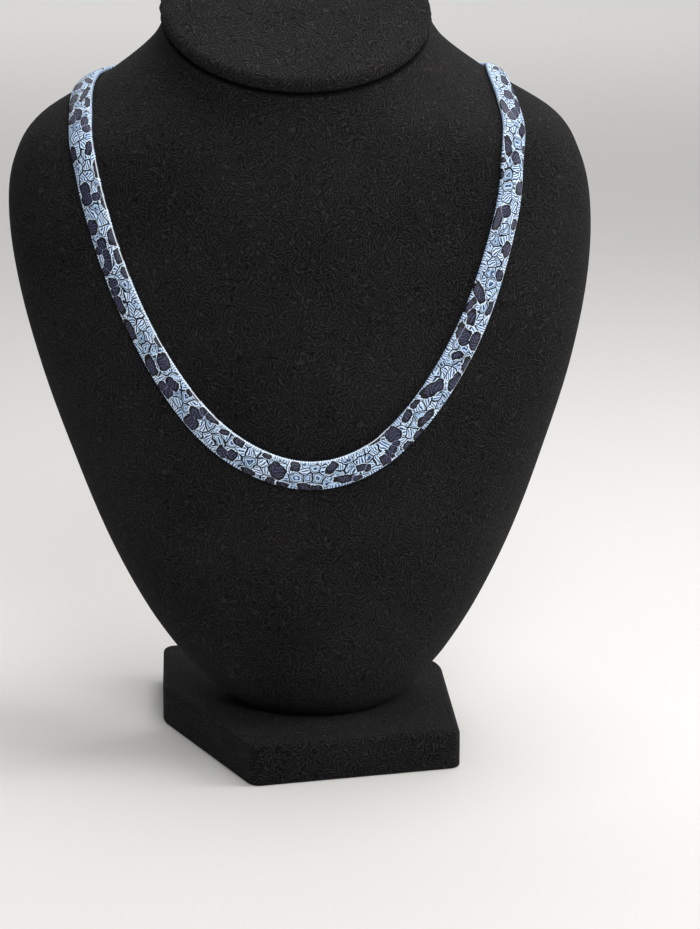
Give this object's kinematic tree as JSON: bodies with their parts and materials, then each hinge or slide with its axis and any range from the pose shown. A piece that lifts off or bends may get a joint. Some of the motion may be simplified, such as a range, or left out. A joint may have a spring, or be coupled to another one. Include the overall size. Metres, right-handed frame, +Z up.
{
  "type": "snakeskin band necklace on a neck bust",
  "caption": "Flat domed snakeskin band worn as a close whole loop round a padded black suede neck bust on a six-sided base block.",
  "frame": {"origin": "on the floor under the middle of the stand", "axes": "+X to the right of the bust seen from the front, +Y to its back, +Z up; the bust faces -Y"},
  "size_m": [0.2051, 0.137, 0.2812],
  "materials": {
    "snakeskin": "glazed blue snakeskin with charcoal blotches and outlined scales",
    "clasp_metal": "brushed, rounded edges",
    "bust_suede": "matt black suede with a fine tangled nap",
    "cap_suede": "matt black suede with a fine tangled nap",
    "base_suede": "matt black suede wrapped over a hard block"
  },
  "bodies": {
    "root": {"snake_band": "snakeskin", "clasp": "clasp_metal", "bust": "bust_suede", "neck_cap": "cap_suede", "base_block": "base_suede"}
  },
  "joints": []
}
